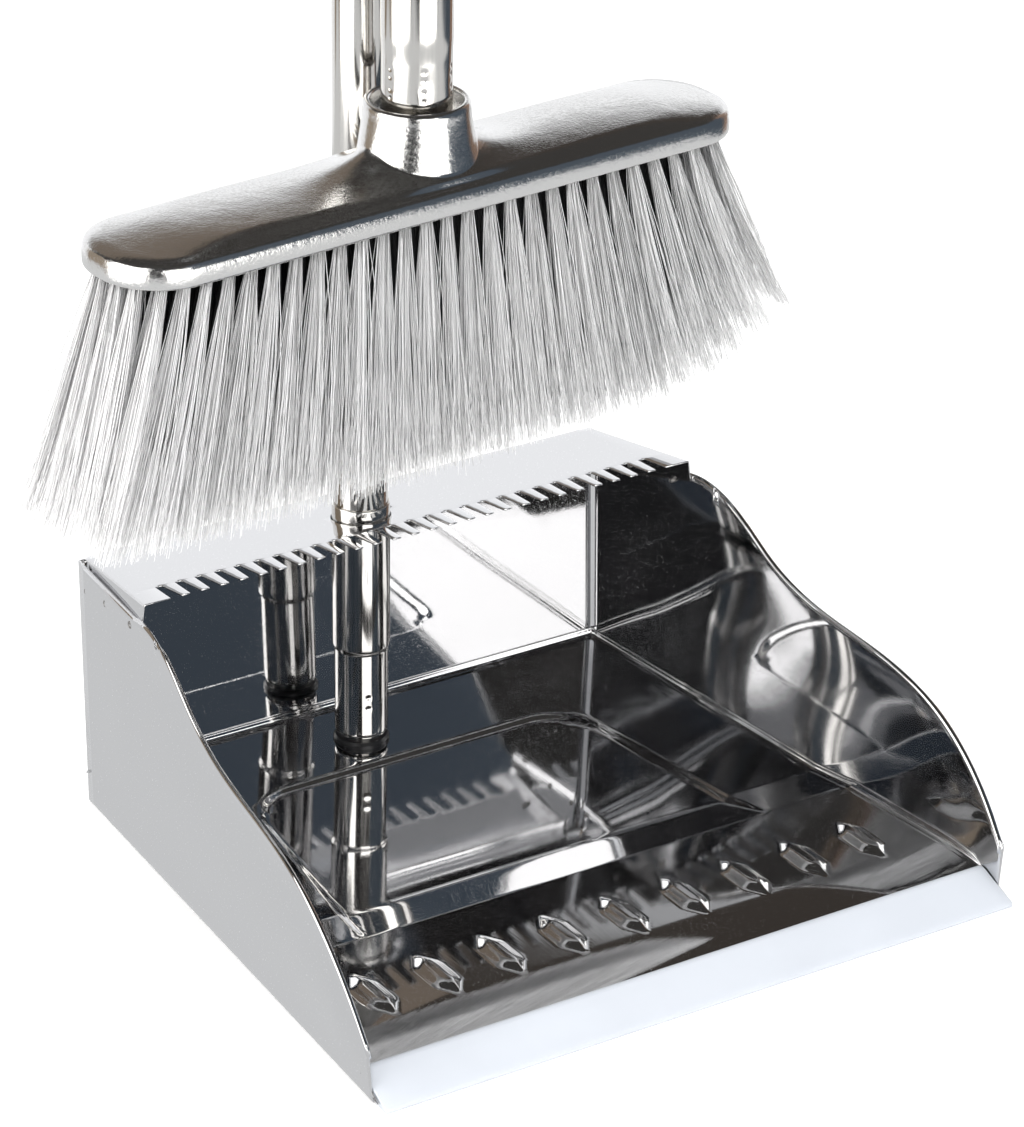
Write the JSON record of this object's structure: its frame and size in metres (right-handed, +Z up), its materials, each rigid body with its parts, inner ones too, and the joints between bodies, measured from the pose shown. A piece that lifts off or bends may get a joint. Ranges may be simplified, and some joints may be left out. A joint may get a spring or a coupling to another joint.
{
  "type": "dust pan and brush set",
  "caption": "Upright folded steel dust pan with a comb hood over its back edge, and a long-handled broom held to its post by a swivelling clip.",
  "frame": {"origin": "middle of the folded foot of the pan's back wall, on the floor it stands on", "axes": "+Z up along the post, -Y out of the pan's open front, +X to the right when looking into the pan"},
  "size_m": [0.3792, 0.3084, 1.066],
  "materials": {
    "mirror_steel": "mirror polished stainless sheet",
    "tube_steel": "polished stainless tube with fine drawn lines",
    "head_chrome": "chrome plating over a slightly grained moulding",
    "plain_steel": "plain turned or stamped steel",
    "rivet_steel": "dull steel rivet",
    "zinc_screw": "zinc plated",
    "white_rubber": "smooth soft white strip",
    "black_rubber": "matt black rubber",
    "black_plastic": "fine moulded texture",
    "grey_plastic": "plain moulded grey",
    "bristle": "crimped pale grey filament with split pale tips"
  },
  "bodies": {
    "pan": {"left_side_wall": "mirror_steel", "right_side_wall": "mirror_steel", "back_wall": "mirror_steel", "floor_tray": "mirror_steel", "comb_hood": "mirror_steel", "left_edge_hem": "mirror_steel", "right_edge_hem": "mirror_steel", "front_lip": "white_rubber", "hood_rivets": "rivet_steel", "floor_stiffener": "plain_steel", "post_screw": "zinc_screw", "post_washer": "zinc_screw", "post_gasket": "black_rubber", "post_plug": "plain_steel", "post_sleeve": "tube_steel", "post_tube_lower": "tube_steel", "post_joiner": "black_plastic", "post_ferrule": "grey_plastic", "post_tube_upper": "tube_steel", "post_cap": "black_plastic"},
    "clip": {"clip_collar": "black_plastic", "clip_jaw": "black_plastic", "clip_screw": "zinc_screw", "pinch_screw": "zinc_screw", "pinch_nut": "zinc_screw"},
    "broom": {"block_screws": "zinc_screw", "bristle_block": "grey_plastic", "bristle_row_1": "bristle", "bristle_row_2": "bristle", "bristle_row_3": "bristle", "bristle_row_4": "bristle", "bristle_row_5": "bristle", "broom_cap": "black_plastic", "broom_end_plug": "black_plastic", "broom_ferrule": "grey_plastic", "broom_joiner": "black_plastic", "broom_tube_lower": "tube_steel", "broom_tube_upper": "tube_steel", "head_shell": "head_chrome", "socket_insert": "black_plastic", "tuft_staples": "plain_steel"}
  },
  "joints": [
    {"name": "clip_swivel", "type": "hinge", "parent": "pan", "child": "clip", "pos_m": [-0.012, -0.027, 0.6], "axis": [0, 0, 1], "continuous": true},
    {"name": "broom_pull", "type": "slide", "parent": "clip", "child": "broom", "axis": [0, -1, 0], "range_m": [0, 0.15], "deforming": ["clip_jaw"]}
  ]
}
